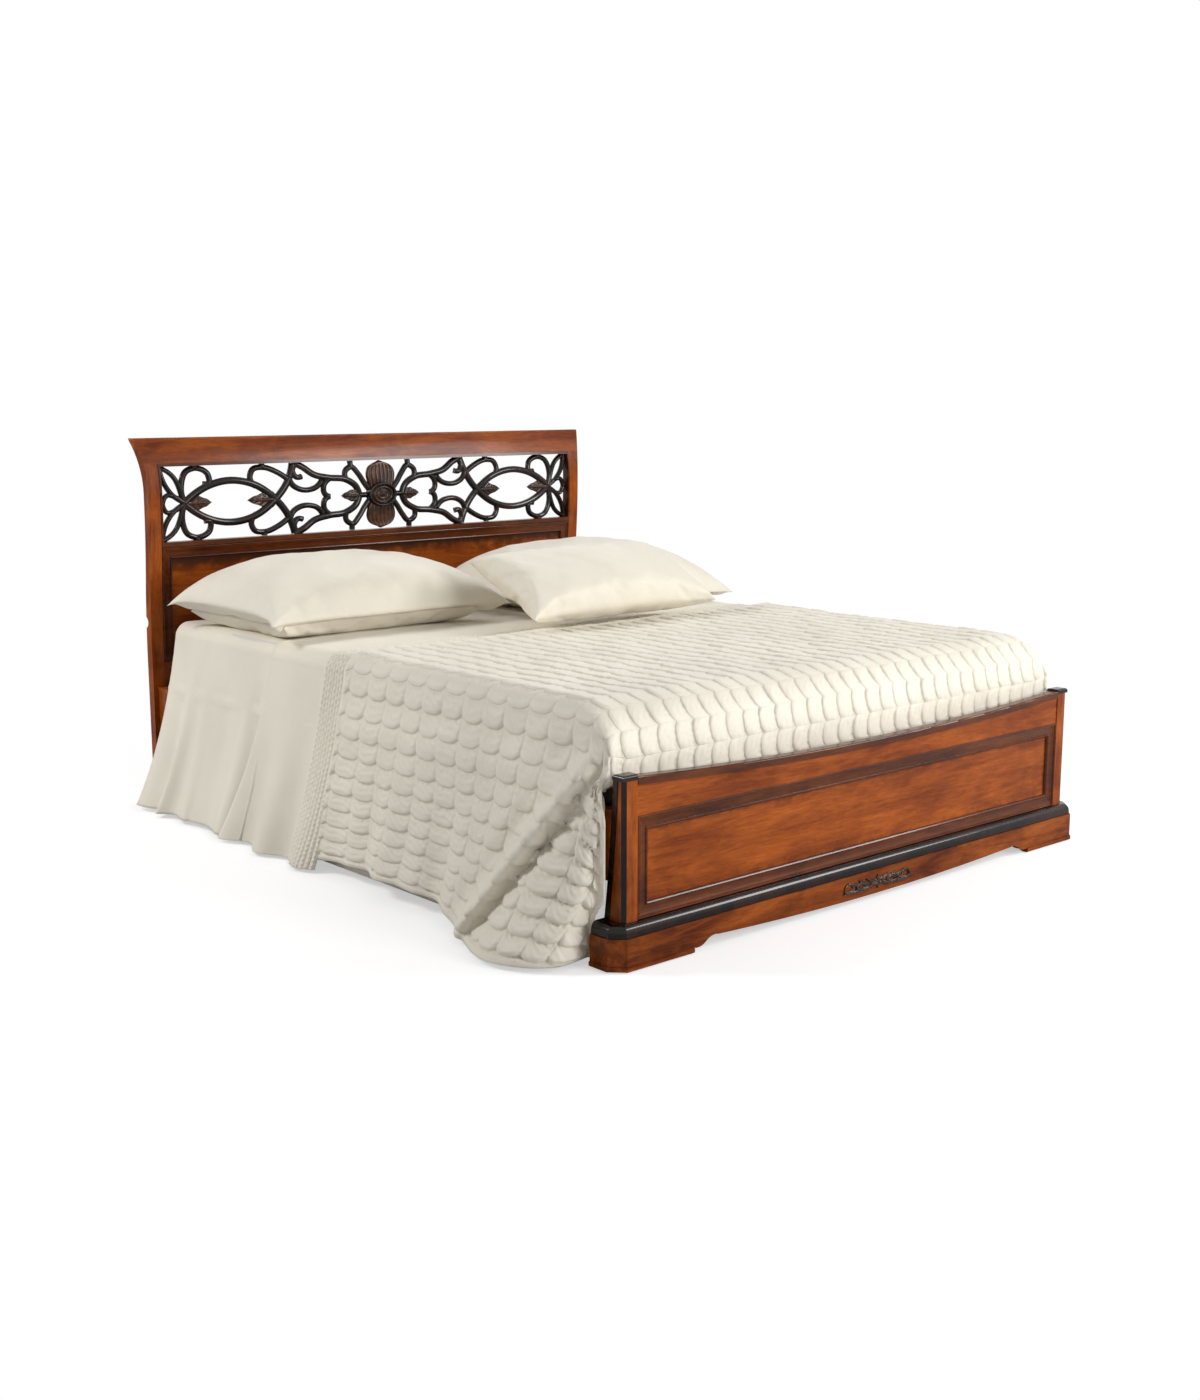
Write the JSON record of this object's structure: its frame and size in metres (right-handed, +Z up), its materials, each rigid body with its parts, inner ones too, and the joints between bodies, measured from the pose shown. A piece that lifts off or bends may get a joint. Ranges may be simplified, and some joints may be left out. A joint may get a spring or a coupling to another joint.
{
  "type": "double bed",
  "caption": "Double bed with a curved, pierced and carved headboard, a panelled footboard on a bracket plinth, slatted base, mattress, quilt, sheets and loose pillows.",
  "frame": {"origin": "On the floor, in the middle of the bed's bounding box", "axes": "+Z up, +X to the right seen from the foot, +Y from the foot to the headboard"},
  "size_m": [2.06, 2.1832, 1.102],
  "materials": {
    "walnut": "semi-gloss figured veneer",
    "ebonised_wood": "gloss, nearly black",
    "spruce": "planed, unfinished",
    "beech": "clear satin lacquer",
    "holder_plastic": "moulded, matt",
    "steel": "zinc plated",
    "glide_nylon": "moulded, matt",
    "pad_felt": "pressed felt",
    "ticking": "woven cover",
    "sheet_satin": "sateen",
    "quilt_satin": "quilted sateen",
    "pillow_satin": "sateen"
  },
  "bodies": {
    "bed": {"headboard_post_left": "walnut", "headboard_post_right": "walnut", "headboard_top_rail": "walnut", "headboard_mid_rail": "walnut", "headboard_bottom_rail": "walnut", "headboard_panel": "walnut", "headboard_panel_moulding": "walnut", "footboard_post_left": "walnut", "footboard_post_right": "walnut", "footboard_frieze_rail": "walnut", "footboard_top_lip": "walnut", "footboard_panel": "walnut", "footboard_panel_moulding": "walnut", "footboard_lower_rail": "walnut", "footboard_plinth": "walnut", "plinth_foot_beads": "walnut", "plinth_ornament": "walnut", "side_rail_left": "walnut", "side_rail_right": "walnut", "headboard_fretwork": "ebonised_wood", "fretwork_boss": "ebonised_wood", "fretwork_bead": "ebonised_wood", "footboard_post_edging_left": "ebonised_wood", "footboard_post_edging_right": "ebonised_wood", "footboard_ebonised_moulding": "ebonised_wood", "rail_ledge_left": "spruce", "rail_ledge_right": "spruce", "slat_frame": "spruce", "slat_frame_centre_beam": "spruce", "slats_left": "beech", "slats_right": "beech", "slat_holders": "holder_plastic", "bed_hook_plates": "steel", "bed_hook_sockets": "steel", "centre_leg": "steel", "headboard_glides": "glide_nylon", "centre_leg_foot": "glide_nylon", "plinth_pads": "pad_felt", "mattress": "ticking", "under_sheet": "sheet_satin", "sheet_turndown": "sheet_satin", "quilt": "quilt_satin"},
    "pillow_lower_left_body": {"pillow_lower_left": "pillow_satin"},
    "pillow_upper_left_body": {"pillow_upper_left": "pillow_satin"},
    "pillow_lower_right_body": {"pillow_lower_right": "pillow_satin"},
    "pillow_upper_right_body": {"pillow_upper_right": "pillow_satin"},
    "pillow_front_body": {"pillow_front": "pillow_satin"}
  },
  "joints": [
    {"name": "lift_lower_left", "type": "slide", "parent": "bed", "child": "pillow_lower_left_body", "axis": [0, 0, 1], "range_m": [0, 0.25]},
    {"name": "lift_upper_left", "type": "slide", "parent": "pillow_lower_left_body", "child": "pillow_upper_left_body", "axis": [0, 0, 1], "range_m": [0, 0.25]},
    {"name": "lift_lower_right", "type": "slide", "parent": "bed", "child": "pillow_lower_right_body", "axis": [0, 0, 1], "range_m": [0, 0.25]},
    {"name": "lift_upper_right", "type": "slide", "parent": "pillow_lower_right_body", "child": "pillow_upper_right_body", "axis": [0, 0, 1], "range_m": [0, 0.25]},
    {"name": "lift_front", "type": "slide", "parent": "pillow_upper_right_body", "child": "pillow_front_body", "axis": [0, 0, 1], "range_m": [0, 0.25]}
  ]
}
